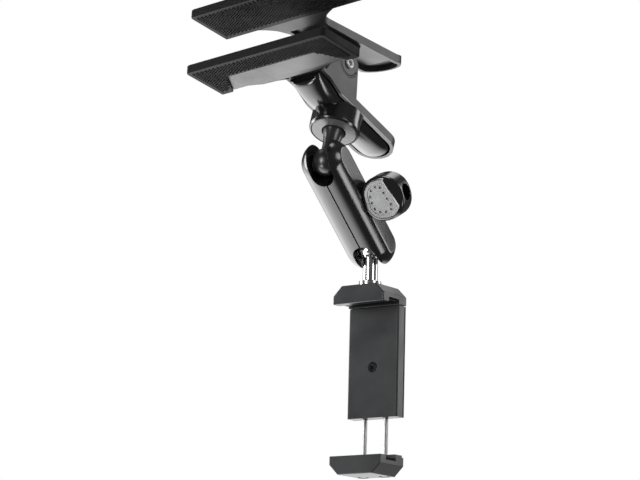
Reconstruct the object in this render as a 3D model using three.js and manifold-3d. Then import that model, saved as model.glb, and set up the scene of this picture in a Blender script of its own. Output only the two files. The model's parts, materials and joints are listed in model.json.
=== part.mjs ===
// A sun-visor phone mount: a sprung visor clip, a double-ball clamping arm with a paddle knob,
// and a spring-loaded phone clamp on two guide rods. Millimetres, +Z up, +X to the right of the
// phone, +Y away from the driver. The origin is the middle of the lower jaw's grip face, where
// the sun visor rests.
import * as THREE from "three";
import { mergeVertices } from "three/addons/utils/BufferGeometryUtils.js";
import Module from "manifold-3d";

const wasm = await Module();
wasm.setup();

// ---------------------------------------------------------------- driving dimensions
const CLEARANCE = 0.3; // between parts that touch or slide
const BALL_R = 7.2; // small ball joints at both ends of the arm
const SOCKET_R = BALL_R + CLEARANCE;

// Visor clip, in its own frame: x along the hinge pin, y from jaw tips to handles, z up.
const CLIP_TURN = { x: -8.6, y: -4.6, z: -1.8 }; // degrees, about Z, then Y, then X
const JAW_WIDTH = 85;
const JAW_DEPTH = 29;
const BOOT_THICKNESS = 4.4;
const JAW_PLATE_THICKNESS = 1.8;
const JAW_SKIN = 1; // rubber over the grip face
const VISOR_GAP = 26; // between the two grip faces, on the visor
const PIN_Y = 46.6;
const PIN_R = 2;
const HANDLE_WIDTH = 22.6;
const HANDLE_WALL = 1.6;
const HANDLE_DEPTH = 5; // height of the lower handle's side walls
const HANDLE_LENGTH = 66.8; // from its root at HANDLE_ROOT to the round tip
const HANDLE_ROOT = { y: 30, z: 2.1 };
const HANDLE_SLOPE = 13.5; // degrees below the jaw plane
const EAR_THICKNESS = 2.6;
const CUP_R = 12.7;
const CUP_FACE = -16.5; // below the handle's top skin
const CUP_Y = 26.1; // along the handle from its root
const POST_LENGTH = 18.2; // from the cup's face to the ball centre

// Arm, in its own frame: x towards the knob, z along the arm from lower to upper ball.
const ARM_TURN = { x: 47.8, y: -6.9, z: 5.8 };
const BALL_SPACING = 53;
const ARM_R = 11; // end radius seen from the knob side
const ARM_HALF_WIDTH = 11.4; // from the split to the knob face
const ARM_ROUNDING = 6.5;
const SLOT_HALF_WIDTH = 5.9; // room for a ball stud to swing
const SLOT_END = 7.2; // from the ball centre towards the arm's middle
const BOLT_R = 2.5;
const KNOB_SEAT = 8.6; // depth of the knob's pocket floor from the split
const KNOB_TURN = -22; // degrees about its axis
const KNOB_LENGTH = 21.5;
const KNOB_HALF_HEIGHT = 11.4;
const KNOB_THICKNESS = 13;

// Phone clamp, in its own frame: y = 0 at the phone's front glass, z = 0 half way up the phone.
const PHONE_HEIGHT = 77.6; // the phone's short side, between the jaws
const PHONE_THICKNESS = 7.85;
const BLOCK_WIDTH = 30.6;
const BLOCK_FRONT = -5.8;
const BLOCK_BACK = 15;
const BLOCK_OUTER = 47.3; // from the middle to the outer face of each jaw block
const BLOCK_INNER = 38; // ... to the end of its front lip
const BLOCK_CHAMFER = 5;
const PAD_THICKNESS = 1.2;
const HOUSING_WIDTH = 30;
const HOUSING_FRONT = 8.15;
const HOUSING_BOTTOM = -18;
const HOUSING_WALL = 0.9;
const COVER_THICKNESS = 1.1;
const ROD_R = 1.35;
const ROD_X = 6.3;
const ROD_Y = 11.5;
const ROD_HEAD_R = 2.3;
const ROD_TOP = 16.5;
const ROD_BOTTOM = -44;
const CENTRE_SCREW_Z = 7.5;
const STEM_R = 3.75;
const FLANGE_R = 5.65;
const FLANGE_THICKNESS = 2.6;
const STEM_TOP_TO_BALL = 18; // from the flange's top to the lower ball's centre

// ---------------------------------------------------------------- materials
const finish = (color, roughness, metalness) =>
  new THREE.MeshStandardMaterial({ color, roughness, metalness });
const GLOSS_BLACK = finish(0x17181a, 0.22, 0);
const SATIN_GREY = finish(0x3a3c3f, 0.45, 0);
const SATIN_BLACK = finish(0x242527, 0.4, 0);
const RUBBER = finish(0x17181a, 0.8, 0);
const STEEL = finish(0xb4b6ba, 0.3, 1);
const CHROME = finish(0xe6e7ea, 0.08, 1);
const LIGHT_GREY = finish(0x8f9296, 0.35, 0);
const BRASS = finish(0xb59a55, 0.3, 1);

// ---------------------------------------------------------------- solids
// A closed three.js geometry as a manifold solid.
function solid(geometry) {
  const bare = new THREE.BufferGeometry();
  bare.setAttribute("position", geometry.getAttribute("position"));
  if (geometry.index) bare.setIndex(geometry.index);
  const merged = mergeVertices(bare, 1e-4);
  return new wasm.Manifold(
    new wasm.Mesh({
      numProp: 3,
      vertProperties: new Float32Array(merged.attributes.position.array),
      triVerts: new Uint32Array(merged.index.array),
    }),
  );
}

// A manifold solid as a three.js geometry.
function geometryOf(body) {
  const mesh = body.getMesh();
  const geometry = new THREE.BufferGeometry();
  geometry.setAttribute("position", new THREE.BufferAttribute(mesh.vertProperties, 3));
  geometry.setIndex(new THREE.BufferAttribute(mesh.triVerts, 1));
  geometry.computeVertexNormals();
  return geometry;
}

// An outline extruded along X, Y or Z between two levels, with its edges rounded by bevel.
// The outline's two coordinates are (y, z), (x, z) or (x, y).
function prism(shape, axis, from, to, { bevel = 0, steps = 3, curve = 10 } = {}) {
  const geometry = new THREE.ExtrudeGeometry(shape, {
    depth: to - from - 2 * bevel,
    bevelEnabled: bevel > 0,
    bevelThickness: bevel,
    bevelSize: bevel,
    bevelOffset: -bevel,
    bevelSegments: steps,
    curveSegments: curve,
  });
  geometry.translate(0, 0, from + bevel);
  const [X, Y, Z] = [new THREE.Vector3(1, 0, 0), new THREE.Vector3(0, 1, 0), new THREE.Vector3(0, 0, 1)];
  const turn = new THREE.Matrix4();
  if (axis === "x") turn.makeBasis(Y, Z, X);
  if (axis === "y") turn.makeBasis(X, Z, Y.clone().negate());
  geometry.applyMatrix4(turn);
  if (axis === "y") geometry.translate(0, from + to, 0);
  return solid(geometry);
}

// A box from its lowest to its highest corner.
function block(low, high) {
  const size = high.map((value, i) => value - low[i]);
  const centre = high.map((value, i) => (value + low[i]) / 2);
  return solid(new THREE.BoxGeometry(...size).translate(...centre));
}

// A turned part: [radius, height] pairs from the bottom of the axis to its top.
function turned(profile, axis = "z", segments = 24) {
  const points = profile.map(([radius, height]) => new THREE.Vector2(radius, height));
  const geometry = new THREE.LatheGeometry(points, segments);
  if (axis === "z") geometry.rotateX(Math.PI / 2);
  if (axis === "x") geometry.rotateZ(-Math.PI / 2);
  return solid(geometry);
}

// A cylinder between two levels of an axis, moved to a place.
function rod(radius, axis, from, to, place = [0, 0, 0], segments = 24) {
  const body = turned([[0, from], [radius, from], [radius, to], [0, to]], axis, segments);
  return body.translate(place);
}

// A ring between two radii.
function ring(inner, outer, axis, from, to, segments = 24) {
  const section = [[inner, from], [outer, from], [outer, to], [inner, to], [inner, from]];
  return turned(section, axis, segments);
}

function ball(radius, place, across = 24, around = 14) {
  return solid(new THREE.SphereGeometry(radius, across, around).translate(...place));
}

const outline = (points) => new THREE.Shape(points.map(([a, b]) => new THREE.Vector2(a, b)));

// A strip of constant half-width from `start` to a round tip at `end`, along the second coordinate.
function tongue(halfWidth, start, end) {
  const shape = new THREE.Shape();
  shape.moveTo(-halfWidth, start);
  shape.lineTo(halfWidth, start);
  shape.lineTo(halfWidth, end - halfWidth);
  shape.absarc(0, end - halfWidth, halfWidth, 0, Math.PI, false);
  shape.closePath();
  return shape;
}

// A stadium of a given end radius, its two centres `spacing` apart along the second coordinate.
function stadium(radius, spacing) {
  const shape = new THREE.Shape();
  shape.absarc(0, spacing / 2, radius, 0, Math.PI, false);
  shape.absarc(0, -spacing / 2, radius, Math.PI, 2 * Math.PI, false);
  shape.closePath();
  return shape;
}

// Round wire along points, as springs are bent.
function wire(points, radius, sides, steps) {
  const section = new THREE.Shape();
  for (let i = 0; i < sides; i += 1) {
    const angle = (2 * Math.PI * i) / sides;
    const corner = [radius * Math.cos(angle), radius * Math.sin(angle)];
    if (i === 0) section.moveTo(...corner);
    else section.lineTo(...corner);
  }
  section.closePath();
  const path = new THREE.CatmullRomCurve3(points.map((p) => new THREE.Vector3(...p)));
  return solid(new THREE.ExtrudeGeometry(section, { steps, extrudePath: path, bevelEnabled: false }));
}

// Points of a helix about Z between two heights, `perTurn` for each turn.
function helix(radius, from, to, turns, perTurn, start = 0) {
  const count = Math.round(turns * perTurn);
  return Array.from({ length: count + 1 }, (_, i) => {
    const angle = start + (2 * Math.PI * i) / perTurn;
    return [radius * Math.cos(angle), radius * Math.sin(angle), from + ((to - from) * i) / count];
  });
}

function piece(group, name, body, material) {
  const mesh = new THREE.Mesh(geometryOf(body), material);
  mesh.name = name;
  group.add(mesh);
  return mesh;
}

// A group turned about Z, then Y, then X, in degrees.
function framed({ x = 0, y = 0, z = 0 }) {
  const group = new THREE.Group();
  const radians = [x, y, z].map(THREE.MathUtils.degToRad);
  group.rotation.set(...radians, "ZYX");
  return group;
}

// ---------------------------------------------------------------- visor clip
const clip = framed(CLIP_TURN);
const PIN_Z = VISOR_GAP / 2;
const mirrored = (body) => body.scale([1, 1, -1]).translate([0, 0, VISOR_GAP]);

// The rubber boot of a jaw: a flat sleeve that the jaw plate slides into from behind, cut out in
// a U underneath so that the plate shows. This is the lower one; the upper one mirrors it.
const PLATE_TOP = -JAW_SKIN - CLEARANCE;
const PLATE_BOTTOM = PLATE_TOP - JAW_PLATE_THICKNESS;
const PLATE_HALF = JAW_WIDTH / 2 - 2.8;
const PLATE_FRONT = -JAW_DEPTH / 2 + 2.8;

function jawBoot() {
  const half = JAW_WIDTH / 2;
  const back = JAW_DEPTH / 2;
  const corner = 2.5;
  const plan = new THREE.Shape();
  plan.moveTo(-half, -back + corner);
  plan.quadraticCurveTo(-half, -back, -half + corner, -back);
  plan.lineTo(half - corner, -back);
  plan.quadraticCurveTo(half, -back, half, -back + corner);
  plan.lineTo(half, back);
  plan.lineTo(-half, back);
  plan.closePath();
  const body = prism(plan, "z", -BOOT_THICKNESS, 0, { curve: 4 });
  const pocket = block(
    [-PLATE_HALF - CLEARANCE, PLATE_FRONT - CLEARANCE, PLATE_BOTTOM - CLEARANCE],
    [PLATE_HALF + CLEARANCE, back + 1, PLATE_TOP + CLEARANCE],
  );
  const mouth = new THREE.Shape();
  mouth.moveTo(-36, back + 1);
  mouth.lineTo(-28.2, 1.2);
  mouth.quadraticCurveTo(-27.2, -0.6, -25.2, -0.6);
  mouth.lineTo(25.2, -0.6);
  mouth.quadraticCurveTo(27.2, -0.6, 28.2, 1.2);
  mouth.lineTo(36, back + 1);
  mouth.closePath();
  const window = prism(mouth, "z", -BOOT_THICKNESS - 1, PLATE_BOTTOM + 0.1, { curve: 4 });
  return body.subtract(pocket).subtract(window);
}

// Plan of a lever from the back of its jaw plate: a concave flare into a straight waist.
function flare(waist, waistStart, waistEnd) {
  const shape = new THREE.Shape();
  shape.moveTo(-30, JAW_DEPTH / 2 - 1);
  shape.lineTo(30, JAW_DEPTH / 2 - 1);
  shape.bezierCurveTo(22, 16.5, waist, 20, waist, waistStart);
  shape.lineTo(waist, waistEnd);
  shape.lineTo(-waist, waistEnd);
  shape.lineTo(-waist, waistStart);
  shape.bezierCurveTo(-waist, 20, -22, 16.5, -30, JAW_DEPTH / 2 - 1);
  return shape;
}

// One of the lower lever's ears: a web from the handle up to a round boss at the pin.
function earOutline() {
  const boss = 7.5;
  const shape = new THREE.Shape();
  shape.moveTo(28.2, 1.6);
  shape.lineTo(34.5, 11.3);
  shape.quadraticCurveTo(38.5, PIN_Z + boss, PIN_Y, PIN_Z + boss);
  shape.absarc(PIN_Y, PIN_Z, boss, Math.PI / 2, 0, true);
  shape.lineTo(54, -4.5);
  shape.lineTo(42, -1.6);
  shape.lineTo(32, 0.7);
  shape.closePath();
  return shape;
}

// The lower handle's own frame: y along the handle, z out of its top skin.
const inHandle = (body) =>
  body.rotate([-HANDLE_SLOPE, 0, 0]).translate([0, HANDLE_ROOT.y, HANDLE_ROOT.z]);

const HALF_HANDLE = HANDLE_WIDTH / 2;
const TRAY_HALF = HALF_HANDLE - HANDLE_WALL;

function lowerLever() {
  const plate = block(
    [-PLATE_HALF, PLATE_FRONT, PLATE_BOTTOM],
    [PLATE_HALF, JAW_DEPTH / 2, PLATE_TOP],
  );
  const neckSide = outline([
    [JAW_DEPTH / 2 - 1, PLATE_TOP],
    [JAW_DEPTH / 2 + CLEARANCE, PLATE_TOP],
    [19.5, 0.8],
    [25, 3.2],
    [30, 2.3],
    [37, 0.4],
    [37, -1.3],
    [30, 0.3],
    [26, 1.3],
    [22, -0.4],
    [18, -2.6],
    [JAW_DEPTH / 2 - 1, PLATE_BOTTOM],
  ]);
  const neck = prism(neckSide, "x", -JAW_WIDTH / 2, JAW_WIDTH / 2).intersect(
    prism(flare(HALF_HANDLE, 29, 60), "z", -30, 30),
  );
  const sideTrim = outline([[26, 20], [26, 1], [31, 0.6], [42, -5.6], [46, -9], [110, -40], [110, 20]]);
  const shell = inHandle(
    prism(tongue(HALF_HANDLE, -2, HANDLE_LENGTH), "z", -HANDLE_DEPTH, 0, { curve: 10 }),
  ).intersect(prism(sideTrim, "x", -20, 20));
  const tray = inHandle(
    prism(tongue(TRAY_HALF, -8, HANDLE_LENGTH - HANDLE_WALL), "z", -HANDLE_DEPTH - 9, -1.8, { curve: 10 }),
  );
  const ears = [-HALF_HANDLE, HALF_HANDLE - EAR_THICKNESS].map((x) =>
    prism(earOutline(), "x", x, x + EAR_THICKNESS, { curve: 8 }),
  );
  const pinHole = rod(PIN_R + 0.2, "x", -20, 20, [0, PIN_Y, PIN_Z], 20);
  return plate.add(neck).add(shell).subtract(tray).add(ears[0]).add(ears[1]).subtract(pinHole);
}

// The glossy bulge under the lower handle, with the cup that holds the upper ball stud.
const FLANGE_ZONE = { top: CUP_FACE + 5.7, bottom: CUP_FACE + 2.7 };

function handleCover() {
  const half = TRAY_HALF - CLEARANCE;
  const tip = HANDLE_LENGTH - HANDLE_WALL - CLEARANCE;
  const bulge = prism(tongue(half, -3.5, tip), "z", -11.4, 6, { bevel: 6, steps: 4, curve: 10 });
  const belowSkin = block([-20, -10, -20], [20, 80, -1.8 - CLEARANCE]);
  const taper = prism(
    outline([[-10, -8.5], [4, -11.4], [34, -11.4], [72, -7.6], [72, 10], [-10, 10]]), "x", -20, 20,
  );
  const rimClear = block([-20, -10, -20], [20, 80, -HANDLE_DEPTH - CLEARANCE]);
  const cup = turned(
    [[0, CUP_FACE], [CUP_R - 1, CUP_FACE], [CUP_R, CUP_FACE + 1.2], [CUP_R, -4], [0, -4]], "z", 32,
  )
    .translate([0, CUP_Y, 0])
    .intersect(rimClear);
  const collarSeat = rod(10.6, "z", CUP_FACE - 1, CUP_FACE + 2.5, [0, CUP_Y, 0], 32);
  const flangeSeat = rod(8.3, "z", CUP_FACE, FLANGE_ZONE.top + 1.2, [0, CUP_Y, 0], 24);
  const pilot = rod(3.4, "z", CUP_FACE, -1, [0, CUP_Y, 0], 16);
  return inHandle(
    bulge.intersect(belowSkin).intersect(taper).add(cup)
      .subtract(collarSeat).subtract(flangeSeat).subtract(pilot),
  );
}

// The upper lever: jaw plate, flared neck and a flat handle, a shell that is open underneath, with
// two inner ears that hang down between the lower lever's ears to the pin.
const UPPER_TIP = 97.3;
const SHELL_WALL = 1.8;
const INNER_EAR_FACE = HALF_HANDLE - EAR_THICKNESS - 0.4;

function innerEarOutline() {
  const boss = 7;
  const shape = new THREE.Shape();
  shape.moveTo(31, 28.9);
  shape.lineTo(PIN_Y - boss, PIN_Z);
  shape.absarc(PIN_Y, PIN_Z, boss, Math.PI, 2 * Math.PI, false);
  shape.lineTo(60, 31);
  shape.closePath();
  return shape;
}

function upperLever() {
  const plate = mirrored(block(
    [-PLATE_HALF, PLATE_FRONT, PLATE_BOTTOM],
    [PLATE_HALF, JAW_DEPTH / 2, PLATE_TOP],
  ));
  const plateBack = JAW_DEPTH / 2 - 1;
  const top = VISOR_GAP - PLATE_BOTTOM;
  const under = VISOR_GAP - PLATE_TOP;
  const side = outline([
    [plateBack, under],
    [JAW_DEPTH / 2 + CLEARANCE, under],
    [24, 26.2],
    [62, 27.9],
    [86, 29.6],
    [UPPER_TIP, 32.8],
    [UPPER_TIP, 37.4],
    [86, 34.2],
    [62, 32.5],
    [24, 29.9],
    [plateBack, top],
  ]);
  const plan = prism(flare(HALF_HANDLE, 29, 60), "z", 15, 45)
    .add(prism(tongue(HALF_HANDLE, 50, UPPER_TIP), "z", 15, 45, { curve: 10 }));
  const shell = prism(side, "x", -JAW_WIDTH / 2, JAW_WIDTH / 2).intersect(plan);
  const room = prism(tongue(HALF_HANDLE - SHELL_WALL, 24, UPPER_TIP - SHELL_WALL), "z", 15, 45, { curve: 10 });
  const underSkin = outline([
    [20, 15], [20, 27.8], [24, 28.1], [62, 30.7], [86, 32.4], [UPPER_TIP, 35.6], [UPPER_TIP, 15],
  ]);
  const hollow = prism(underSkin, "x", -20, 20).intersect(room);
  const ear = prism(innerEarOutline(), "x", INNER_EAR_FACE - SHELL_WALL, INNER_EAR_FACE, { curve: 8 });
  const farEar = ear.scale([-1, 1, 1]);
  const pinHole = rod(PIN_R + 0.2, "x", -20, 20, [0, PIN_Y, PIN_Z], 20);
  return plate.add(shell).subtract(hollow).add(ear).add(farEar).subtract(pinHole);
}

// A tubular rivet through the four ears, its ends rolled over the outer pair.
function hingePin() {
  const end = HALF_HANDLE + CLEARANCE;
  const profile = [
    [0, -end + 1.6],
    [1.1, -end + 1.6],
    [1.1, -end - 0.8],
    [2.4, -end - 0.8],
    [2.8, -end],
    [PIN_R, -end],
    [PIN_R, end],
    [2.8, end],
    [2.4, end + 0.8],
    [1.1, end + 0.8],
    [1.1, end - 1.6],
    [0, end - 1.6],
  ];
  return turned(profile, "x", 20).translate([0, PIN_Y, PIN_Z]);
}

// The torsion spring on the pin: a coil whose two legs leave it at 60 degrees and press each
// handle away from the other.
function torsionSpring() {
  const coilR = 3.2;
  const halfLength = 4.4;
  const startAngle = (5 / 6) * Math.PI;
  const turns = 5 + 1 / 6;
  const coil = helix(coilR, -halfLength, halfLength, turns, 12, startAngle);
  const onPin = coil.map(([y, z, x]) => [x, PIN_Y + y, PIN_Z + z]);
  const leave = [coilR * Math.cos(startAngle), coilR * Math.sin(startAngle)];
  const leg = (x, up, reach) => [x, PIN_Y + leave[0] + reach / 2, PIN_Z + up * (leave[1] + 0.866 * reach)];
  return wire(
    [leg(-halfLength, 1, 15.2), leg(-halfLength, 1, 4), ...onPin, leg(halfLength, -1, 4), leg(halfLength, -1, 15.2)],
    0.55, 6, 92,
  );
}

function collar() {
  const section = [
    [5.9, CUP_FACE + 2.2],
    [5.9, CUP_FACE + 0.5],
    [6.4, CUP_FACE],
    [10.3, CUP_FACE],
    [10.3, CUP_FACE + 2.2],
    [5.9, CUP_FACE + 2.2],
  ];
  return inHandle(turned(section, "z", 32).translate([0, CUP_Y, 0]));
}

// Upper ball stud: a flange trapped behind the collar, a flared post and the ball.
const UPPER_BALL_Z = CUP_FACE - POST_LENGTH;

function ballProfile(centre, neckRadius, steps) {
  const neckAngle = Math.asin(neckRadius / BALL_R);
  return Array.from({ length: steps + 1 }, (_, i) => {
    const angle = Math.PI - ((Math.PI - neckAngle) * i) / steps;
    return [i === 0 ? 0 : BALL_R * Math.sin(angle), centre + BALL_R * Math.cos(angle)];
  });
}

function upperStud() {
  const flangeBottom = CUP_FACE + 2.5;
  const profile = [
    ...ballProfile(UPPER_BALL_Z, 4.2, 12),
    [4.2, CUP_FACE - 6],
    [4.5, CUP_FACE - 3],
    [5.3, CUP_FACE - 0.4],
    [5.5, CUP_FACE + 0.4],
    [5.5, flangeBottom],
    [8, flangeBottom],
    [8, FLANGE_ZONE.top - 0.3],
    [3, FLANGE_ZONE.top - 0.3],
    [3, -3],
    [0, -3],
  ];
  return inHandle(turned(profile, "z", 24).translate([0, CUP_Y, 0]));
}

function frictionWasher() {
  const from = FLANGE_ZONE.top;
  return inHandle(ring(3.4, 8, "z", from, from + 0.9, 24).translate([0, CUP_Y, 0]));
}

piece(clip, "lower_lever", lowerLever(), SATIN_BLACK);
piece(clip, "lower_jaw_boot", jawBoot(), RUBBER);
piece(clip, "upper_lever", upperLever(), SATIN_BLACK);
piece(clip, "upper_jaw_boot", mirrored(jawBoot()), RUBBER);
piece(clip, "hinge_pin", hingePin(), STEEL);
piece(clip, "torsion_spring", torsionSpring(), STEEL);
piece(clip, "handle_cover", handleCover(), GLOSS_BLACK);
piece(clip, "socket_collar", collar(), LIGHT_GREY);
piece(clip, "friction_washer", frictionWasher(), STEEL);
piece(clip, "upper_ball_stud", upperStud(), GLOSS_BLACK);

// ---------------------------------------------------------------- double-ball arm
clip.updateMatrixWorld(true);
const upperBall = new THREE.Vector3(0, CUP_Y, UPPER_BALL_Z)
  .applyAxisAngle(new THREE.Vector3(1, 0, 0), THREE.MathUtils.degToRad(-HANDLE_SLOPE))
  .add(new THREE.Vector3(0, HANDLE_ROOT.y, HANDLE_ROOT.z))
  .applyMatrix4(clip.matrixWorld);

const arm = framed(ARM_TURN);
const alongArm = new THREE.Vector3(0, 0, 1).applyEuler(arm.rotation);
arm.position.copy(upperBall).addScaledVector(alongArm, -BALL_SPACING / 2);

// The slot at one end of the arm, a round-ended cut right through from front to back.
function studSlot(end) {
  const inner = BALL_SPACING / 2 - SLOT_END;
  const shape = new THREE.Shape();
  shape.moveTo(SLOT_HALF_WIDTH, end * (inner + SLOT_HALF_WIDTH));
  shape.lineTo(SLOT_HALF_WIDTH, end * 60);
  shape.lineTo(-SLOT_HALF_WIDTH, end * 60);
  shape.lineTo(-SLOT_HALF_WIDTH, end * (inner + SLOT_HALF_WIDTH));
  const start = end > 0 ? Math.PI : -Math.PI;
  shape.absarc(0, end * (inner + SLOT_HALF_WIDTH), SLOT_HALF_WIDTH, start, 2 * start, end < 0);
  return prism(shape, "y", -20, 20, { curve: 8 });
}

function armBody() {
  let body = prism(stadium(ARM_R, BALL_SPACING), "x", -ARM_HALF_WIDTH, ARM_HALF_WIDTH, {
    bevel: ARM_ROUNDING, steps: 4, curve: 10,
  });
  for (const end of [1, -1]) {
    body = body.subtract(ball(SOCKET_R, [0, 0, (end * BALL_SPACING) / 2]));
    body = body.subtract(studSlot(end));
  }
  const springRoom = rod(4.6, "x", -6, 6, [0, 0, 0], 20);
  const boltHole = rod(BOLT_R + 0.2, "x", -20, 20, [0, 0, 0], 20);
  return body.subtract(springRoom).subtract(boltHole);
}

const SPLIT = 0.35; // half the gap between the two arm halves

function armHalf(side) {
  const keep = side > 0 ? block([SPLIT, -30, -60], [30, 30, 60]) : block([-30, -30, -60], [-SPLIT, 30, 60]);
  const half = armBody().intersect(keep);
  if (side > 0) return half.subtract(rod(7.4, "x", KNOB_SEAT, 20, [0, 0, 0], 28));
  return half.subtract(hexPrism(4.6, -20, -9.4));
}

// A hexagonal prism along X, measured to its corners.
function hexPrism(corner, from, to) {
  return turned([[0, from], [corner, from], [corner, to], [0, to]], "x", 6);
}

function armBolt() {
  const shank = rod(BOLT_R, "x", -10, 24, [0, 0, 0], 20);
  return shank.add(hexPrism(4.2, -12.4, -9.8)).subtract(hexPrism(1.6, -14, -11));
}

const armSpring = () =>
  wire(helix(3.5, -4.8, 4.8, 4, 12).map(([a, b, c]) => [c, a, b]), 0.5, 6, 60);

// The knob's own frame shares the bolt's axis; its flat faces look along -Y and +Y.
const KNOB_START = KNOB_SEAT + 2.6;
const KNOB_END = KNOB_START + KNOB_LENGTH;

function knobOutline(inset = 0) {
  const h = KNOB_HALF_HEIGHT - inset;
  const x0 = KNOB_START + inset;
  const x1 = KNOB_END - inset;
  const shape = new THREE.Shape();
  shape.moveTo(x0, -4.4 + inset / 2);
  shape.bezierCurveTo(x0 + 1.5, -h * 0.75, x0 + 4.5, -h, x0 + 10.5, -h);
  shape.bezierCurveTo(x1 - 4, -h, x1, -h * 0.58, x1, 0);
  shape.bezierCurveTo(x1, h * 0.58, x1 - 4, h, x0 + 10.5, h);
  shape.bezierCurveTo(x0 + 4.5, h, x0 + 1.5, h * 0.75, x0, 4.4 - inset / 2);
  shape.closePath();
  return shape;
}

const FACE_DEPTH = 1.2; // pocket for the inlaid face plates
const FACE_INSET = 3.8;

const atKnob = (body) => body.rotate([KNOB_TURN, 0, 0]);

function knobBody() {
  const half = KNOB_THICKNESS / 2;
  const paddle = prism(knobOutline(), "y", -half, half, { bevel: 2.9, steps: 4, curve: 8 });
  const hub = rod(4.6, "x", KNOB_SEAT + 1.6, KNOB_START + 6, [0, 0, 0], 20);
  const pocket = (side) => {
    const plan = knobOutline(FACE_INSET - 0.5);
    return side < 0 ? prism(plan, "y", -20, -half + FACE_DEPTH, { curve: 8 })
      : prism(plan, "y", half - FACE_DEPTH, 20, { curve: 8 });
  };
  const bore = rod(3.7, "x", 0, KNOB_START + 13, [0, 0, 0], 20);
  const endHole = rod(4.2, "x", KNOB_END - 8, KNOB_END + 5, [0, 0, 0], 24);
  return atKnob(
    paddle.add(hub).subtract(pocket(-1)).subtract(pocket(1)).subtract(bore).subtract(endHole),
  );
}

function knobFace(side) {
  const half = KNOB_THICKNESS / 2;
  const plan = knobOutline(FACE_INSET);
  const outer = half - 0.2;
  const inner = half - FACE_DEPTH + CLEARANCE;
  const [from, to] = side < 0 ? [-outer, -inner] : [inner, outer];
  return atKnob(prism(plan, "y", from, to, { curve: 8 }));
}

const knobInsert = () => ring(BOLT_R + 0.2, 3.4, "x", KNOB_SEAT + 2.4, KNOB_START + 12.4, 20);
const knobWasher = () => ring(BOLT_R + 0.3, 6.4, "x", KNOB_SEAT + CLEARANCE, KNOB_SEAT + 1.3, 28);

piece(arm, "arm_half_right", armHalf(1), GLOSS_BLACK);
piece(arm, "arm_half_left", armHalf(-1), GLOSS_BLACK);
piece(arm, "arm_bolt", armBolt(), STEEL);
piece(arm, "arm_spring", armSpring(), STEEL);
piece(arm, "knob_washer", knobWasher(), LIGHT_GREY);
piece(arm, "knob", knobBody(), GLOSS_BLACK);
piece(arm, "knob_insert", knobInsert(), BRASS);
piece(arm, "knob_face_front", knobFace(-1), SATIN_GREY);
piece(arm, "knob_face_back", knobFace(1), SATIN_GREY);

// ---------------------------------------------------------------- phone clamp
const lowerBall = upperBall.clone().addScaledVector(alongArm, -BALL_SPACING);
const BLOCK_MIDDLE = 4.5; // the stem stands over the phone's thickness
const FLANGE_TOP = BLOCK_OUTER + CLEARANCE + FLANGE_THICKNESS;
const clamp = new THREE.Group();
clamp.position.copy(lowerBall).sub(new THREE.Vector3(0, BLOCK_MIDDLE, FLANGE_TOP + STEM_TOP_TO_BALL));

function lowerStud() {
  const profile = [
    [0, BLOCK_OUTER - 5.6],
    [2.5, BLOCK_OUTER - 5.6],
    [2.5, BLOCK_OUTER + CLEARANCE],
    [FLANGE_R, BLOCK_OUTER + CLEARANCE],
    [FLANGE_R, FLANGE_TOP - 0.3],
    [FLANGE_R - 0.3, FLANGE_TOP],
    [STEM_R + 0.4, FLANGE_TOP],
    [STEM_R, FLANGE_TOP + 0.4],
    ...ballProfile(-(FLANGE_TOP + STEM_TOP_TO_BALL), STEM_R, 12)
      .reverse()
      .map(([radius, height]) => [radius, -height]),
  ];
  return turned(profile, "z", 24).translate([0, BLOCK_MIDDLE, 0]);
}

// A jaw block seen from the front: two outer corners cut off. `up` is 1 for the top block.
function blockOutline(up) {
  const half = BLOCK_WIDTH / 2;
  const points = [
    [-half, BLOCK_INNER],
    [half, BLOCK_INNER],
    [half, BLOCK_OUTER - BLOCK_CHAMFER],
    [half - BLOCK_CHAMFER, BLOCK_OUTER],
    [-half + BLOCK_CHAMFER, BLOCK_OUTER],
    [-half, BLOCK_OUTER - BLOCK_CHAMFER],
  ];
  return outline(points.map(([x, z]) => [x, up * z]));
}

const CHANNEL = { front: -0.8, back: PHONE_THICKNESS + 0.15, floor: PHONE_HEIGHT / 2 + PAD_THICKNESS + CLEARANCE };

function phoneChannel(up) {
  const [a, b] = [up * (BLOCK_INNER - 3), up * CHANNEL.floor];
  return block([-20, CHANNEL.front, Math.min(a, b)], [20, CHANNEL.back, Math.max(a, b)]);
}

function phonePad(up) {
  const inner = PHONE_HEIGHT / 2;
  const half = BLOCK_WIDTH / 2 - 0.8;
  const [a, b] = [up * inner, up * (inner + PAD_THICKNESS)];
  const front = CHANNEL.front + CLEARANCE;
  const back = CHANNEL.back - CLEARANCE;
  return block([-half, front, Math.min(a, b)], [half, back, Math.max(a, b)]);
}

function topBlock() {
  const body = prism(blockOutline(1), "y", BLOCK_FRONT, BLOCK_BACK, { bevel: 0.4, steps: 1 });
  const studHole = rod(2.8, "z", BLOCK_OUTER - 6, BLOCK_OUTER + 1, [0, BLOCK_MIDDLE, 0], 20);
  return body.subtract(phoneChannel(1)).subtract(studHole);
}

function bottomBlock() {
  const body = prism(blockOutline(-1), "y", BLOCK_FRONT, BLOCK_BACK, { bevel: 0.4, steps: 1 });
  const backRise = block(
    [-BLOCK_WIDTH / 2 + 0.8, HOUSING_FRONT + CLEARANCE, -BLOCK_INNER - 1],
    [BLOCK_WIDTH / 2 - 0.8, BLOCK_BACK - 0.5, -BLOCK_INNER + 1.2],
  );
  let jaw = body.subtract(phoneChannel(-1)).add(backRise);
  for (const x of [-ROD_X, ROD_X]) {
    jaw = jaw.subtract(rod(ROD_R + CLEARANCE, "z", ROD_BOTTOM - CLEARANCE, 0, [x, ROD_Y, 0], 16));
    jaw = jaw.subtract(rod(2.9, "z", -60, ROD_BOTTOM - 1.2, [x, ROD_Y, 0], 20));
    jaw = jaw.subtract(rod(1.2, "z", -60, ROD_BOTTOM, [x, ROD_Y, 0], 12));
  }
  return jaw;
}

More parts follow.
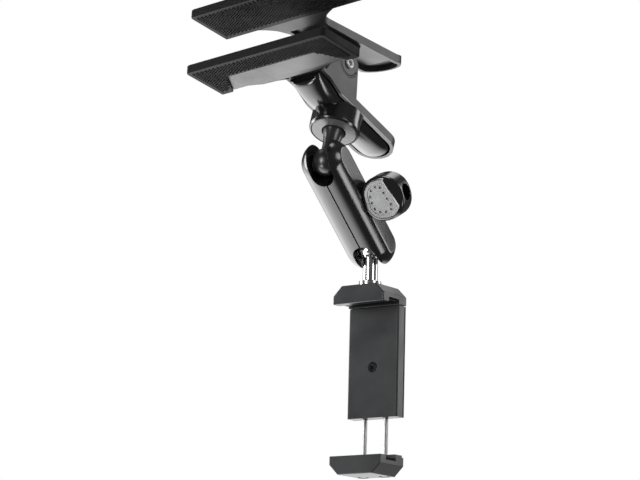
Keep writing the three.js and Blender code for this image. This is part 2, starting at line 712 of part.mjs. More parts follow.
const COVER_FRONT = BLOCK_BACK - COVER_THICKNESS;
const HOUSING_TOP = BLOCK_INNER - CLEARANCE;
const COVER_SCREWS = [
  [-12.4, -14.6],
  [12.4, -14.6],
  [-12.4, 33.6],
  [12.4, 33.6],
];

// A round pocket along Y at the centre screw.
function screwPocket(radius, from, to) {
  return rod(radius, "y", from, to, [0, 0, CENTRE_SCREW_Z], 20);
}

function housing() {
  const half = HOUSING_WIDTH / 2;
  const back = COVER_FRONT - CLEARANCE;
  const shape = outline([
    [-half + 0.7, HOUSING_FRONT],
    [half - 0.7, HOUSING_FRONT],
    [half, HOUSING_FRONT + 0.7],
    [half, back],
    [-half, back],
    [-half, HOUSING_FRONT + 0.7],
  ]);
  let body = prism(shape, "z", HOUSING_BOTTOM, HOUSING_TOP);
  const cavity = (x0, x1) =>
    block([x0, HOUSING_FRONT + HOUSING_WALL, HOUSING_BOTTOM + 3], [x1, back + 1, HOUSING_TOP - 1.2]);
  body = body.subtract(cavity(-ROD_X - 3, -ROD_X + 3)).subtract(cavity(ROD_X - 3, ROD_X + 3));
  for (const x of [-ROD_X, ROD_X]) {
    body = body.subtract(rod(ROD_R + 0.25, "z", HOUSING_BOTTOM - 1, HOUSING_BOTTOM + 4, [x, ROD_Y, 0], 16));
  }
  for (const [x, z] of COVER_SCREWS) {
    body = body.subtract(rod(0.9, "y", back - 3.6, back + 1, [x, 0, z], 10));
  }
  const screwRecess = screwPocket(2.7, HOUSING_FRONT - 1, HOUSING_FRONT + 1.7);
  const screwHole = screwPocket(1.8, HOUSING_FRONT, HOUSING_FRONT + 4.4);
  return body.subtract(screwRecess).subtract(screwHole);
}

function centreScrew() {
  const head = rod(2.4, "y", HOUSING_FRONT + 0.1, HOUSING_FRONT + 1.4, [0, 0, CENTRE_SCREW_Z], 24);
  const shank = rod(1.5, "y", HOUSING_FRONT + 1, HOUSING_FRONT + 4, [0, 0, CENTRE_SCREW_Z], 16);
  const socket = turned([[0, -1], [1.4, -1], [1.4, HOUSING_FRONT + 1], [0, HOUSING_FRONT + 1]], "y", 6)
    .translate([0, 0, CENTRE_SCREW_Z]);
  return head.add(shank).subtract(socket);
}

function backCover() {
  const half = HOUSING_WIDTH / 2;
  const shape = outline([
    [-half, HOUSING_BOTTOM],
    [half, HOUSING_BOTTOM],
    [half, HOUSING_TOP],
    [-half, HOUSING_TOP],
  ]);
  let body = prism(shape, "y", COVER_FRONT, BLOCK_BACK, { bevel: 0.3, steps: 1 });
  for (const [x, z] of COVER_SCREWS) {
    body = body.subtract(rod(1.15, "y", COVER_FRONT - 1, BLOCK_BACK + 1, [x, 0, z], 12));
  }
  return body;
}

function coverScrew([x, z]) {
  const profile = [
    [0, COVER_FRONT - 3],
    [0.7, COVER_FRONT - 3],
    [0.7, BLOCK_BACK + 0.15],
    [1.9, BLOCK_BACK + 0.3],
    [1.7, BLOCK_BACK + 0.9],
    [0, BLOCK_BACK + 1.1],
  ];
  return turned(profile, "y", 14).translate([x, 0, z]);
}

function guideRod(x) {
  return rod(ROD_R, "z", ROD_BOTTOM, ROD_TOP, [x, ROD_Y, 0], 16);
}

// The collar crimped on a rod's top end, which the return spring pushes on.
function rodHead(x) {
  return ring(ROD_R + 0.05, ROD_HEAD_R, "z", ROD_TOP - 2, ROD_TOP, 16).translate([x, ROD_Y, 0]);
}

function returnSpring(x) {
  const points = helix(1.95, HOUSING_BOTTOM + 3.6, ROD_TOP - 2.6, 11, 8);
  return wire(points, 0.3, 5, 100).translate([x, ROD_Y, 0]);
}

function rodScrew(x) {
  const top = ROD_BOTTOM - 1.5;
  const profile = [[0, top - 1.4], [2.5, top - 1.4], [2.5, top], [0.9, top], [0.9, ROD_BOTTOM - 0.4], [0, ROD_BOTTOM - 0.4]];
  const slot = block([-3, -0.4, top - 3], [3, 0.4, top - 0.8]);
  return turned(profile, "z", 16).subtract(slot).translate([x, ROD_Y, 0]);
}

piece(clamp, "lower_ball_stud", lowerStud(), CHROME);
piece(clamp, "top_block", topBlock(), SATIN_GREY);
piece(clamp, "top_pad", phonePad(1), RUBBER);
piece(clamp, "housing", housing(), SATIN_GREY);
piece(clamp, "back_cover", backCover(), SATIN_BLACK);
piece(clamp, "centre_screw", centreScrew(), STEEL);
COVER_SCREWS.forEach((place, i) => piece(clamp, `cover_screw_${i + 1}`, coverScrew(place), STEEL));
piece(clamp, "bottom_block", bottomBlock(), SATIN_GREY);
piece(clamp, "bottom_pad", phonePad(-1), RUBBER);
for (const [side, x] of [["left", -ROD_X], ["right", ROD_X]]) {
  piece(clamp, `guide_rod_${side}`, guideRod(x), STEEL);
  piece(clamp, `rod_head_${side}`, rodHead(x), STEEL);
  piece(clamp, `return_spring_${side}`, returnSpring(x), STEEL);
  piece(clamp, `rod_screw_${side}`, rodScrew(x), STEEL);
}

const mount = new THREE.Group();
mount.add(clip, arm, clamp);
export default mount;
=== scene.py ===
# %% [markdown]
# # A sun-visor phone mount
# The mount has three groups: a sprung clip with rubber jaws, a short arm that squeezes two balls,
# and a sprung clamp that holds the phone. The engineering model gives every size and place. This
# script dresses it: soft edges, true curves and finishes that catch light as moulded plastic,
# rubber and turned steel do.

# %% Load the frame
import json
from math import atan2, cos, degrees, pi, radians, sin, sqrt

import bmesh
import bpy
from mathutils import Matrix, Vector


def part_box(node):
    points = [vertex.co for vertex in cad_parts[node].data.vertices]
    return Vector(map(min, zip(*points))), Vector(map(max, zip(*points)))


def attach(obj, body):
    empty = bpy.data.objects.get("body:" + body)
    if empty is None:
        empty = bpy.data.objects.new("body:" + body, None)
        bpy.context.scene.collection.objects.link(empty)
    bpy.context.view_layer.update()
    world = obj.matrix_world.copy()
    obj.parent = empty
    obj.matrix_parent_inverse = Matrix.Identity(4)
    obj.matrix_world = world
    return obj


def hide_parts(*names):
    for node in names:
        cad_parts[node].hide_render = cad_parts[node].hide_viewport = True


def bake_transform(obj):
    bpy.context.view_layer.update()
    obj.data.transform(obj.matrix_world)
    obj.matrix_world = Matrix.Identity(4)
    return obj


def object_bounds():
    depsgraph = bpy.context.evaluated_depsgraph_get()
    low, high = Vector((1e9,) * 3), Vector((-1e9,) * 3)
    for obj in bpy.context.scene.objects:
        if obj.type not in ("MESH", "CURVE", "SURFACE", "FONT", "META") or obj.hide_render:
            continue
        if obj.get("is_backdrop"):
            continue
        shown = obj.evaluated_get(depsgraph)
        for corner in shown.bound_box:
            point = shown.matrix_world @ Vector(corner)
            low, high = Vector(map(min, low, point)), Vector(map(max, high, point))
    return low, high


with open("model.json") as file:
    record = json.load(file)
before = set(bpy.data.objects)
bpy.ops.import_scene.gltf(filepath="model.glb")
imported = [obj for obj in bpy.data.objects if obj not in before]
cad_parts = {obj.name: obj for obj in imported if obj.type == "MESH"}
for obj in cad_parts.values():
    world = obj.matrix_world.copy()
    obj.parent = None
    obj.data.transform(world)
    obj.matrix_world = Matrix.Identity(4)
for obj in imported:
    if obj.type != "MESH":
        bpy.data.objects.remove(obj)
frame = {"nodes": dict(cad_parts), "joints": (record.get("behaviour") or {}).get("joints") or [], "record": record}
CAD_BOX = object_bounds()
MM = 0.001
NODES = frame["nodes"]
JOINTS = {joint["name"]: joint for joint in frame["joints"]}
MOUNTS = {mount["name"]: mount for mount in frame["record"]["mounts"]}

# %% [markdown]
# ## Working frames
# The clip, its handle, the arm and the clamp are all tilted against each other. Each gets a frame
# of its own, made from a hinge's point and axis, so that a round post or a rounded slab can be
# drawn upright and then set in place.

# %% Working frames


def upright(origin, x, z):
    """A frame at origin whose X and Z follow the given directions."""
    z = Vector(z).normalized()
    x = Vector(x)
    x = (x - z * x.dot(z)).normalized()
    y = z.cross(x)
    turn = Matrix((x, y, z)).transposed().to_4x4()
    return Matrix.Translation(Vector(origin)) @ turn


def extent(node, place):
    """Lowest and highest corner of a node, measured in a working frame."""
    inverse = place.inverted()
    points = [inverse @ vertex.co for vertex in NODES[node].data.vertices]
    low = Vector([min(p[i] for p in points) for i in range(3)])
    high = Vector([max(p[i] for p in points) for i in range(3)])
    return low, high


HINGE = JOINTS["clip_hinge"]
SWIVEL = JOINTS["stud_swivel"]
UPPER_BALL = Vector(JOINTS["arm_tilt"]["pos_m"])
LOWER_BALL = Vector(JOINTS["lower_tilt"]["pos_m"])
GRIP_NORMAL = Vector(MOUNTS["visor_grip"]["axis"])

CLIP = upright((0, 0, 0), HINGE["axis"], GRIP_NORMAL)
PIN = upright(HINGE["pos_m"], HINGE["axis"], GRIP_NORMAL)
CUP = upright(SWIVEL["pos_m"], HINGE["axis"], SWIVEL["axis"])
ARM = upright((UPPER_BALL + LOWER_BALL) / 2, JOINTS["arm_tilt"]["axis"], UPPER_BALL - LOWER_BALL)
STEM = Matrix.Translation(LOWER_BALL)
BALL_SPACING = (UPPER_BALL - LOWER_BALL).length
print("ball spacing in mm", round(BALL_SPACING / MM, 1))

# %% [markdown]
# ## Camera and light
# The object hangs above eye level, so the lens looks up at it from the front right. A long lens
# keeps the clamp's edges nearly parallel. The background is plain white. The gloss parts get their
# streaks from soft lamps and from a dark room that turns bright on one side.

# %% Camera
SIGHT = Vector((-0.5736, 0.7944, 0.1999)).normalized()
SIDEWAYS = Vector((0.8135, 0.5809, 0.0255)).normalized()
LENS_POINT = Vector((705.0, -932.7, -328.1)) * MM

camera_data = bpy.data.cameras.new("camera")
camera_data.lens = 140.6
camera_data.sensor_width = 36
camera_data.clip_start = 0.05
camera = bpy.data.objects.new("camera", camera_data)
above = SIDEWAYS.cross(SIGHT)
facing_part = Matrix((SIDEWAYS, above, -SIGHT)).transposed().to_4x4()
camera.matrix_world = Matrix.Translation(LENS_POINT) @ facing_part
bpy.context.scene.collection.objects.link(camera)
bpy.context.scene.camera = camera
bpy.context.scene.view_settings.view_transform = "Standard"
print("lens in mm", round(camera_data.lens, 1))

# %% Shader maths


def math(tree, operation, a, b=None):
    """A Math node fed by sockets or numbers. Returns its output socket."""
    node = tree.nodes.new("ShaderNodeMath")
    node.operation = operation
    for index, value in enumerate((a, b)):
        if value is None:
            continue
        if isinstance(value, (int, float)):
            node.inputs[index].default_value = value
        else:
            tree.links.new(value, node.inputs[index])
    return node.outputs[0]


def spread(tree, value, low, high, from_low=0.3, from_high=0.7):
    """Maps a value onto a new range."""
    node = tree.nodes.new("ShaderNodeMapRange")
    tree.links.new(value, node.inputs["Value"])
    for socket, number in (
        ("From Min", from_low), ("From Max", from_high), ("To Min", low), ("To Max", high),
    ):
        if isinstance(number, (int, float)):
            node.inputs[socket].default_value = number
        else:
            tree.links.new(number, node.inputs[socket])
    return node.outputs["Result"]


# %% Room and lamps
BRIGHT_SIDE = Vector((-0.64, 0.26, -0.72)).normalized()
BRIGHT_STARTS, BRIGHT_FULL = 0.5, 0.95  # cosines of the angle from the bright side
ROOM_DARK, ROOM_BRIGHT = 0.12, 5.0
EVEN_FILL = 0.42
MIDDLE = (Vector(CAD_BOX[0]) + Vector(CAD_BOX[1])) / 2

# direction from the object, distance, size and power of each lamp
LAMPS = {
    "lamp_front_left": ((-0.12, -0.98, 0.1), 1.1, (0.3, 0.7), 4.5),
    "lamp_left": ((-0.95, -0.3, 0.15), 1.0, (0.4, 1.0), 7),
    "lamp_right_back": ((0.5, 0.8, 0.3), 1.0, (0.3, 0.9), 2.4),
    "lamp_right_low": ((0.9, 0.1, -0.5), 1.1, (0.25, 0.5), 1.6),
    "lamp_front_low": ((-0.2, -0.77, -0.57), 1.1, (0.35, 0.35), 2.6),
    "lamp_back_high": ((-0.3, 0.75, 0.8), 1.0, (0.6, 0.6), 1.6),
    "lamp_right": ((1.0, -0.15, 0.35), 1.1, (0.4, 0.6), 2.2),
    "lamp_top": ((-0.1, -0.2, 1.0), 0.9, (0.8, 0.8), 5),
}
FLOOR_LEVEL = CAD_BOX[0][2] - 0.3
FLOOR_REACH = 3

world = bpy.data.worlds.new("studio")
bpy.context.scene.world = world
world.use_nodes = True
sky = world.node_tree
sky.nodes.clear()
where = sky.nodes.new("ShaderNodeTexCoord")
facing = sky.nodes.new("ShaderNodeVectorMath")
facing.operation = "DOT_PRODUCT"
facing.inputs[1].default_value = BRIGHT_SIDE
sky.links.new(where.outputs["Generated"], facing.inputs[0])
field = spread(sky, facing.outputs["Value"], ROOM_DARK, ROOM_BRIGHT, BRIGHT_STARTS, BRIGHT_FULL)
path = sky.nodes.new("ShaderNodeLightPath")
shiny = math(sky, "SUBTRACT", 1.0, path.outputs["Is Diffuse Ray"])
even = math(sky, "MULTIPLY", path.outputs["Is Diffuse Ray"], EVEN_FILL)
room = sky.nodes.new("ShaderNodeBackground")
sky.links.new(math(sky, "ADD", math(sky, "MULTIPLY", field, shiny), even), room.inputs["Strength"])
seen = sky.nodes.new("ShaderNodeBackground")
seen.inputs["Color"].default_value = (1, 1, 1, 1)
choose = sky.nodes.new("ShaderNodeMixShader")
out = sky.nodes.new("ShaderNodeOutputWorld")
sky.links.new(path.outputs["Is Camera Ray"], choose.inputs["Fac"])
sky.links.new(room.outputs["Background"], choose.inputs[1])
sky.links.new(seen.outputs["Background"], choose.inputs[2])
sky.links.new(choose.outputs["Shader"], out.inputs["Surface"])


def soft_lamp(name, direction, distance, size, power):
    """A soft lamp that faces the middle of the object."""
    data = bpy.data.lights.new(name, "AREA")
    data.shape = "ELLIPSE"
    data.size, data.size_y = size
    data.energy = power
    lamp = bpy.data.objects.new(name, data)
    away = Vector(direction).normalized()
    lamp.location = MIDDLE + away * distance
    lamp.rotation_euler = away.to_track_quat("Z", "Y").to_euler()
    bpy.context.scene.collection.objects.link(lamp)


for name, setting in LAMPS.items():
    soft_lamp(name, *setting)

floor_mesh = bpy.data.meshes.new("floor")
corners = [(FLOOR_REACH * a, FLOOR_REACH * b, FLOOR_LEVEL) for a, b in ((-1, -1), (1, -1), (1, 1), (-1, 1))]
floor_mesh.from_pydata(corners, [], [(0, 1, 2, 3)])
floor = bpy.data.objects.new("floor", floor_mesh)
bpy.context.scene.collection.objects.link(floor)
floor.visible_glossy = False
floor.visible_diffuse = False
floor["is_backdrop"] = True
print("lamps", len(LAMPS), "floor level in metres", round(FLOOR_LEVEL, 3))

# %% [markdown]
# ## Finishes
# Moulded plastic is never one flat value. Its gloss varies where it was handled, and a satin part
# carries the fine spark texture of its mould. Most finishes need both, so one shader node group
# gives them, with its own inputs.

# %% Handled surface: gloss that varies from place to place


def new_group(name, inputs, outputs):
    """An empty shader node group with named sockets, and its two end nodes."""
    group = bpy.data.node_groups.new(name, "ShaderNodeTree")
    for socket, kind, value in inputs:
        made = group.interface.new_socket(socket, in_out="INPUT", socket_type=kind)
        made.default_value = value
    for socket, kind in outputs:
        group.interface.new_socket(socket, in_out="OUTPUT", socket_type=kind)
    start = group.nodes.new("NodeGroupInput")
    end = group.nodes.new("NodeGroupOutput")
    return group, start, end


FLOAT = "NodeSocketFloat"
handled, start, end = new_group(
    "handled surface",
    [
        ("Smooth", FLOAT, 0.15), ("Dull", FLOAT, 0.3),
        ("Patch Scale", FLOAT, 60.0), ("Grain Scale", FLOAT, 2500.0),
    ],
    [("Roughness", FLOAT), ("Tone", FLOAT), ("Height", FLOAT)],
)
where = handled.nodes.new("ShaderNodeTexCoord")
patches = handled.nodes.new("ShaderNodeTexNoise")
patches.inputs["Detail"].default_value = 4.0
handled.links.new(where.outputs["Object"], patches.inputs["Vector"])
handled.links.new(start.outputs["Patch Scale"], patches.inputs["Scale"])
grain = handled.nodes.new("ShaderNodeTexNoise")
grain.inputs["Detail"].default_value = 2.0
handled.links.new(where.outputs["Object"], grain.inputs["Vector"])
handled.links.new(start.outputs["Grain Scale"], grain.inputs["Scale"])
dulled = spread(handled, patches.outputs["Fac"], start.outputs["Smooth"], start.outputs["Dull"])
handled.links.new(dulled, end.inputs["Roughness"])
handled.links.new(spread(handled, patches.outputs["Fac"], 0.88, 1.1), end.inputs["Tone"])
handled.links.new(grain.outputs["Fac"], end.inputs["Height"])
print(handled.name, "nodes", len(handled.nodes))

# %% Material helpers


def shaded(name, base, roughness, metallic=0.0, **sockets):
    """A new material with a Principled shader; returns (material, tree, shader)."""
    material = bpy.data.materials.new(name)
    material.use_nodes = True
    tree = material.node_tree
    shader = tree.nodes["Principled BSDF"]
    shader.inputs["Base Color"].default_value = (*base, 1)
    shader.inputs["Roughness"].default_value = roughness
    shader.inputs["Metallic"].default_value = metallic
    for socket, value in sockets.items():
        shader.inputs[socket.replace("_", " ")].default_value = value
    return material, tree, shader


def placed(tree, group, **values):
    """A node group placed in a material, with its own values."""
    node = tree.nodes.new("ShaderNodeGroup")
    node.node_tree = group
    for socket, value in values.items():
        node.inputs[socket.replace("_", " ")].default_value = value
    return node


def mixed(tree, factor, a, b, blend="MIX"):
    """A mix of two colours. The factor and the colours are values or sockets."""
    mix = tree.nodes.new("ShaderNodeMix")
    mix.data_type = "RGBA"
    mix.blend_type = blend
    for socket, value in (("Factor", factor), ("A", a), ("B", b)):
        if isinstance(value, (float, tuple)):
            mix.inputs[socket].default_value = value
        else:
            tree.links.new(value, mix.inputs[socket])
    return mix.outputs["Result"]


def bumped(tree, shader, height, depth_mm):
    """Feeds a height to the shader's normal."""
    bump = tree.nodes.new("ShaderNodeBump")
    bump.inputs["Strength"].default_value = 1.0
    bump.inputs["Distance"].default_value = depth_mm * MM
    tree.links.new(height, bump.inputs["Height"])
    tree.links.new(bump.outputs["Normal"], shader.inputs["Normal"])


def moulded(name, base, smooth, dull, grain_mm=0.004, grain_scale=2500.0, **sockets):
    """Moulded plastic: varied gloss over a fine mould texture."""
    material, tree, shader = shaded(name, base, smooth, **sockets)
    skin = placed(tree, handled, Smooth=smooth, Dull=dull, Grain_Scale=grain_scale)
    tree.links.new(skin.outputs["Roughness"], shader.inputs["Roughness"])
    colour = mixed(tree, 1.0, (*base, 1), skin.outputs["Tone"], "MULTIPLY")
    tree.links.new(colour, shader.inputs["Base Color"])
    bumped(tree, shader, skin.outputs["Height"], grain_mm)
    return material


def turned_metal(name, base, smooth, dull, ring_mm=0.002):
    """Bright metal with faint tool marks."""
    material, tree, shader = shaded(name, base, smooth, metallic=1.0)
    skin = placed(tree, handled, Smooth=smooth, Dull=dull, Patch_Scale=220.0, Grain_Scale=3000.0)
    tree.links.new(skin.outputs["Roughness"], shader.inputs["Roughness"])
    bumped(tree, shader, skin.outputs["Height"], ring_mm)
    return material


# %% Finishes of this mount
GLOSS = moulded("gloss_black_shell", (0.008, 0.008, 0.009), 0.17, 0.22, grain_mm=0.0002, IOR=1.8)
SATIN = moulded("satin_graphite", (0.032, 0.033, 0.035), 0.3, 0.4, grain_mm=0.006)
LEVER = moulded("satin_dark_lever", (0.03, 0.031, 0.033), 0.36, 0.46, grain_mm=0.006)
PALE = moulded("satin_grey_plate", (0.17, 0.172, 0.176), 0.22, 0.32, grain_mm=0.003, IOR=1.7)
SCREW = turned_metal("blackened_steel", (0.07, 0.07, 0.075), 0.2, 0.3, ring_mm=0.0003)
BALL = moulded("worn_black_ball", (0.02, 0.02, 0.021), 0.27, 0.34, grain_mm=0.0002, IOR=1.8)
STEEL = turned_metal("turned_steel", (0.6, 0.6, 0.61), 0.36, 0.46, ring_mm=0.0003)
CHROME = turned_metal("polished_chrome", (0.82, 0.82, 0.83), 0.14, 0.2, ring_mm=0.00003)
BRASS = turned_metal("turned_brass", (0.72, 0.53, 0.24), 0.2, 0.32)
RUBBER = moulded(
    "black_rubber", (0.0035, 0.0035, 0.004), 0.45, 0.58, grain_mm=0.003, Specular_IOR_Level=0.12,
)
FLOOR, tree, shader = shaded(
    "pale_floor", (0.8, 0.8, 0.8), 0.8, Emission_Color=(1, 1, 1, 1), Emission_Strength=0.3,
)
floor.data.materials.append(FLOOR)
print("materials", len(bpy.data.materials))

# %% [markdown]
# ## Making pieces
# Three makers cover nearly every part. A turned part is a profile spun round an axis. A slab is an
# outline given thickness and a rounded rim. A refined part is the engineering solid itself, with
# its flat facets joined up and its edges rounded, as a mould or a file leaves them.

# %% Piece makers
WELD = 2e-6  # points closer than this, in metres, are one


def finished(name, bm, place, material, body, replaces=(), sharp=35, bend=()):
    """Turns a bmesh into a piece: smooth faces, crisp folds, material and body; the engineering parts it replaces
    are hidden.

    A spring passes bend instead of riding on one body: the body its far end follows, and the points where the bend
    starts and ends. Only whether bend is passed is read: the piece then rides on no body and keeps its baked
    place, and nothing bends it.
    """
    bmesh.ops.recalc_face_normals(bm, faces=bm.faces)
    for face in bm.faces:
        face.smooth = True
    for edge in bm.edges:
        edge.smooth = len(edge.link_faces) == 2 and edge.calc_face_angle(0) < radians(sharp)
    mesh = bpy.data.meshes.new(name)
    bm.to_mesh(mesh)
    bm.free()
    mesh.transform(place)
    mesh.materials.append(material)
    piece = bpy.data.objects.new(name, mesh)
    bpy.context.scene.collection.objects.link(piece)
    even = piece.modifiers.new("even shading", "WEIGHTED_NORMAL")
    even.keep_sharp = True
    if bend:
        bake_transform(piece)
    else:
        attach(piece, body)
    if replaces:
        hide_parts(*replaces)
    print(name, len(mesh.polygons), "faces")
    return piece


def spun(profile, steps=72, axis="z"):
    """A closed bmesh from [radius, height] pairs in metres, spun about an axis."""
    bm = bmesh.new()
    rings = []
    for radius, height in profile:
        if radius < 1e-7:
            rings.append([bm.verts.new((0, 0, height))])
            continue
        angles = [2 * pi * i / steps for i in range(steps)]
        rings.append([bm.verts.new((radius * cos(a), radius * sin(a), height)) for a in angles])
    for low, high in zip(rings, rings[1:]):
        for i in range(steps):
            j = (i + 1) % steps
            corners = [low[i % len(low)], low[j % len(low)], high[j % len(high)], high[i % len(high)]]
            unique = list(dict.fromkeys(corners))
            if len(unique) > 2:
                bm.faces.new(unique)
    bmesh.ops.remove_doubles(bm, verts=bm.verts, dist=1e-7)
    if axis == "x":
        bmesh.ops.rotate(bm, verts=bm.verts, matrix=Matrix.Rotation(pi / 2, 3, "Y"))
    return bm


def arc(centre, radius, start, stop, steps):
    """Points on a circle in the profile's plane, between two angles in degrees."""
    angles = [radians(start + (stop - start) * i / steps) for i in range(steps + 1)]
    return [(centre[0] + radius * cos(a), centre[1] + radius * sin(a)) for a in angles]


def round_edges(bm, width, segments=3, over=30):
    """Rounds every edge of a bmesh that folds by more than an angle."""
    folds = [e for e in bm.edges if len(e.link_faces) == 2 and e.calc_face_angle(0) > radians(over)]
    bmesh.ops.bevel(
        bm, geom=folds, offset=width, segments=segments, profile=0.5, affect="EDGES", clamp_overlap=True,
    )


def joined(mesh, flat):
    """A bmesh of a mesh whose nearly flat facets are joined up."""
    bm = bmesh.new()
    bm.from_mesh(mesh)
    bmesh.ops.remove_doubles(bm, verts=bm.verts, dist=WELD)
    bmesh.ops.dissolve_limit(bm, angle_limit=radians(flat), verts=bm.verts, edges=bm.edges)
    return bm


def refined(node, material, width_mm, body, segments=3, flat=1.0, over=30, bend=()):
    """The node's own solid with its facets joined up and its edges rounded."""
    bm = joined(NODES[node].data, flat)
    if width_mm:
        round_edges(bm, width_mm * MM, segments, over)
    return finished(node + "_piece", bm, Matrix.Identity(4), material, body, (node,), 35, bend)


def cut(piece, cutters):
    """Cuts other closed meshes out of a piece, then removes them."""
    for cutter in cutters:
        step = piece.modifiers.new("cut", "BOOLEAN")
        step.operation = "DIFFERENCE"
        step.solver = "EXACT"
        step.object = cutter
    depsgraph = bpy.context.evaluated_depsgraph_get()
    mesh = bpy.data.meshes.new_from_object(piece.evaluated_get(depsgraph))
    piece.modifiers.clear()
    old = piece.data
    piece.data = mesh
    bpy.data.meshes.remove(old)
    for cutter in cutters:
        bpy.data.objects.remove(cutter)


def loose(bm, place=Matrix.Identity(4)):
    """A bmesh as a loose object, to be used as a cutter or a start."""
    bmesh.ops.recalc_face_normals(bm, faces=bm.faces)
    mesh = bpy.data.meshes.new("loose")
    bm.to_mesh(mesh)
    bm.free()
    mesh.transform(place)
    thing = bpy.data.objects.new("loose", mesh)
    bpy.context.scene.collection.objects.link(thing)
    return thing


def skinned(bm, loops):
    """Closes a row of equal loops into one skin, with a face over each end."""
    bm.faces.new(loops[0])
    bm.faces.new(loops[-1])
    for a, b in zip(loops, loops[1:]):
        for j in range(len(a)):
            k = (j + 1) % len(a)
            bm.faces.new((a[j], a[k], b[k], b[j]))
    return bm


def prism(points, low, high, axis="x"):
    """A closed bmesh: an outline in the plane across an axis, between two levels of that axis."""
    bm = bmesh.new()
    spot = {
        "x": lambda a, b, level: (level, a, b),
        "y": lambda a, b, level: (a, level, b),
        "z": lambda a, b, level: (a, b, level),
    }[axis]
    bottom = [bm.verts.new(spot(a, b, low)) for a, b in points]
    top = [bm.verts.new(spot(a, b, high)) for a, b in points]
    skinned(bm, [bottom, top])
    bmesh.ops.recalc_face_normals(bm, faces=bm.faces)
    return bm


def reshaped(thing, name, material, body, replaces, width_mm=0.0, segments=3, over=30, sharp=35):
    """A cut shape made into a piece, with its new edges rounded."""
    bm = joined(thing.data, 0.3)
    bpy.data.objects.remove(thing)
    if width_mm:
        round_edges(bm, width_mm * MM, segments, over)
    return finished(name, bm, Matrix.Identity(4), material, body, replaces, sharp)


# %% [markdown]
# ## The clip's jaws and levers
# Both levers are thin moulded shells with a fine spark finish. Their engineering solids already
# have the right walls, so they are refined. A rubber boot slips over each jaw plate.

# %% Levers
PLATE_SHEEN_TONE = 0.16  # the jaw plate is painted paler than the lever, a painted reflection
LEVER_DARK = (0.03, 0.031, 0.033, 1)
# painted shadow: near black, put in the groove on one side of the hinge boss
GROOVE_SHADOW_PAINT = (0.004, 0.004, 0.004, 1)
# painted highlight: pale grey along the lower handle's rim
RIM_HIGHLIGHT_PAINT = (0.3, 0.3, 0.31, 1)
GROOVE_R = 6.7 * MM  # of the groove round the hinge boss
RIM_LEVEL = 11.5 * MM  # of the lower handle's rim above the cup's face
RIM_ROUGHNESS = 0.18
SKIN_DEPTH = 0.02  # of the spark texture, against a groove of 1


def measured_in(tree, place):
    """The surface point's X, Y and Z sockets, measured in a working frame."""
    where = tree.nodes.new("ShaderNodeTexCoord")
    into = tree.nodes.new("ShaderNodeMapping")
    into.vector_type = "TEXTURE"
    into.inputs["Location"].default_value = place.to_translation()
    into.inputs["Rotation"].default_value = place.to_euler()
    tree.links.new(where.outputs["Object"], into.inputs["Vector"])
    parts = tree.nodes.new("ShaderNodeSeparateXYZ")
    tree.links.new(into.outputs["Vector"], parts.inputs["Vector"])
    return parts.outputs


def near(tree, value, centre, full, none):
    """A mask that is 1 close to a level and fades to 0 away from it."""
    off = math(tree, "ABSOLUTE", math(tree, "SUBTRACT", value, centre))
    return spread(tree, off, 1.0, 0.0, full, none)


def lever_material(name, plate_edge):
    """Lever plastic with painted light: the jaw plate painted paler as a painted reflection, a painted shadow in
    the groove round the hinge boss on one side, and a painted highlight on a glossier rim.
    """
    material, tree, shader = shaded(name, (0.05, 0.05, 0.05), 0.4)
    skin = placed(tree, handled, Smooth=0.34, Dull=0.46)
    from_pin = measured_in(tree, PIN)
    y, z = from_pin["Y"], from_pin["Z"]
    squares = math(tree, "ADD", math(tree, "MULTIPLY", y, y), math(tree, "MULTIPLY", z, z))
    ring = near(tree, math(tree, "SQRT", squares), GROOVE_R, 0.35 * MM, 0.75 * MM)
    # the groove and its painted shadow are kept to one side of the boss, where shade falls
    shadow_side = spread(tree, math(tree, "ADD", y, z), 1.0, 0.0, 2.0 * MM, 4.0 * MM)
    groove_and_shadow = math(tree, "MULTIPLY", ring, shadow_side)
    # painted reflection: the jaw plate part of the lever is painted paler
    plate = spread(tree, y, 1.0, 0.0, plate_edge - 1.5 * MM, plate_edge + 1.5 * MM)
    colour = mixed(tree, plate, LEVER_DARK, (PLATE_SHEEN_TONE, PLATE_SHEEN_TONE, PLATE_SHEEN_TONE * 1.02, 1))
    # painted shadow in the groove
    colour = mixed(tree, groove_and_shadow, colour, GROOVE_SHADOW_PAINT)
    from_cup = measured_in(tree, CUP)
    level = near(tree, from_cup["Z"], RIM_LEVEL, 0.25 * MM, 0.6 * MM)
    rim = math(tree, "MULTIPLY", level, spread(tree, from_cup["Y"], 0.0, 1.0, -21 * MM, -19 * MM))
    # painted highlight on the rim band, which is also made glossier
    tree.links.new(mixed(tree, rim, colour, RIM_HIGHLIGHT_PAINT), shader.inputs["Base Color"])
    gloss = spread(tree, rim, skin.outputs["Roughness"], RIM_ROUGHNESS, 0.0, 1.0)
    tree.links.new(gloss, shader.inputs["Roughness"])
    depth = math(tree, "SUBTRACT", math(tree, "MULTIPLY", skin.outputs["Height"], SKIN_DEPTH), groove_and_shadow)
    bumped(tree, shader, depth, 0.5)
    return material


LEVER_PLASTIC = lever_material("lever_plastic", extent("lower_jaw_boot", PIN)[1].y)
refined("lower_lever", LEVER_PLASTIC, 0.3, "visor_clip")
refined("upper_lever", LEVER_PLASTIC, 0.3, "upper_jaw")

# %% [markdown]
# The boots are pressed with raised diamonds that grip cloth, in rows that stop short of a plain
# border. Each diamond is a low pyramid, so it has a real top and real flanks.

# %% Boots with diamonds
DIAMOND_LONG, DIAMOND_SHORT = 2.5 * MM, 1.5 * MM
DIAMOND_TALL = 0.5 * MM
DIAMOND_FOOT = 0.43  # half a foot's span, as a part of the pitch
DIAMOND_TOP = 0.4  # the flat top's span, as a part of the foot's
SUNK = 0.1 * MM
BORDER = 3.0 * MM
MOUTH_START = -2.0 * MM


def mouth_half(y):
    """Half width of the cut-out at a place along the boot, with room for a plain lip."""
    narrow, flare, lip = 25.2 * MM, 11 * MM, 1.8 * MM
    return narrow + flare * max(0.0, min(1.0, (y + 0.6 * MM) / (16 * MM))) + lip


